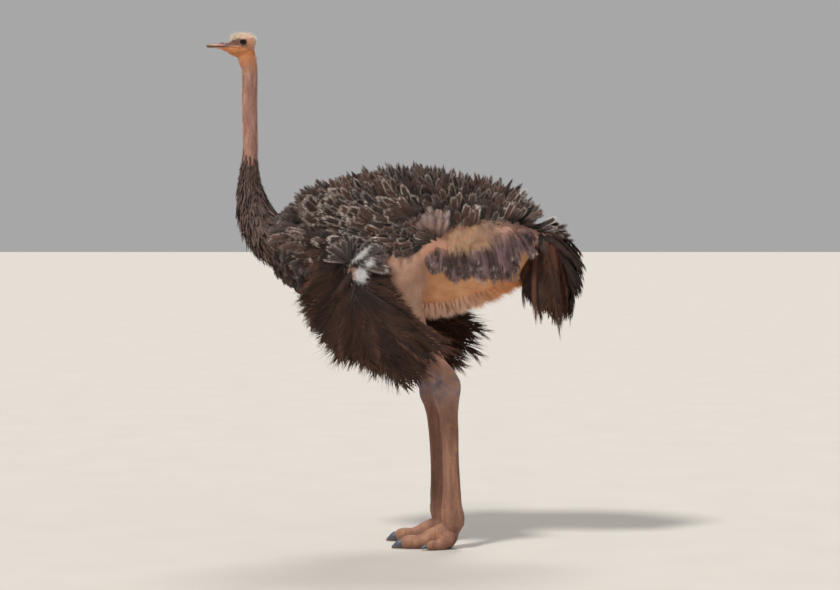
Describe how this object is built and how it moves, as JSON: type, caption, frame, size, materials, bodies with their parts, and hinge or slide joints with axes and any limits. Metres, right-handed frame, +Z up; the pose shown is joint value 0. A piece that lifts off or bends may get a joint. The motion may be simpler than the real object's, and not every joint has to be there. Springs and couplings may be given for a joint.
{
  "type": "ostrich",
  "caption": "Still, life-size model of a standing ostrich hen: tall bare neck, ruffled back feathers, drooping held-out wings, bare legs, hanging tail.",
  "frame": {"origin": "middle of the bird's whole length and width, on the floor that the soles stand on", "axes": "-X the way the bird faces, -Y the bird's left side, +Z up"},
  "size_m": [1.3806, 0.6118, 1.8916],
  "materials": {
    "bare_skin": "soft bare skin, finely wrinkled",
    "scaly_skin": "dry skin with flat scales",
    "body_feathers": "soft feathers, matt",
    "plumes": "long soft plumes, matt",
    "bill": "horn, slightly glossy",
    "claw": "horn, slightly glossy",
    "eye": "wet and glossy"
  },
  "bodies": {
    "root": {"eye_left": "eye", "eye_right": "eye", "upper_bill": "bill", "lower_bill": "bill", "head": "bare_skin", "trunk": "body_feathers", "lower_neck": "body_feathers", "upper_neck": "bare_skin", "tail": "plumes", "big_claw_left": "claw", "small_claw_left": "claw", "shank_left": "scaly_skin", "big_toe_left": "scaly_skin", "small_toe_left": "scaly_skin", "hock_left": "scaly_skin", "thigh_left": "bare_skin", "wing_left": "plumes", "big_claw_right": "claw", "small_claw_right": "claw", "shank_right": "scaly_skin", "big_toe_right": "scaly_skin", "small_toe_right": "scaly_skin", "hock_right": "scaly_skin", "thigh_right": "bare_skin", "wing_right": "plumes"}
  },
  "joints": []
}
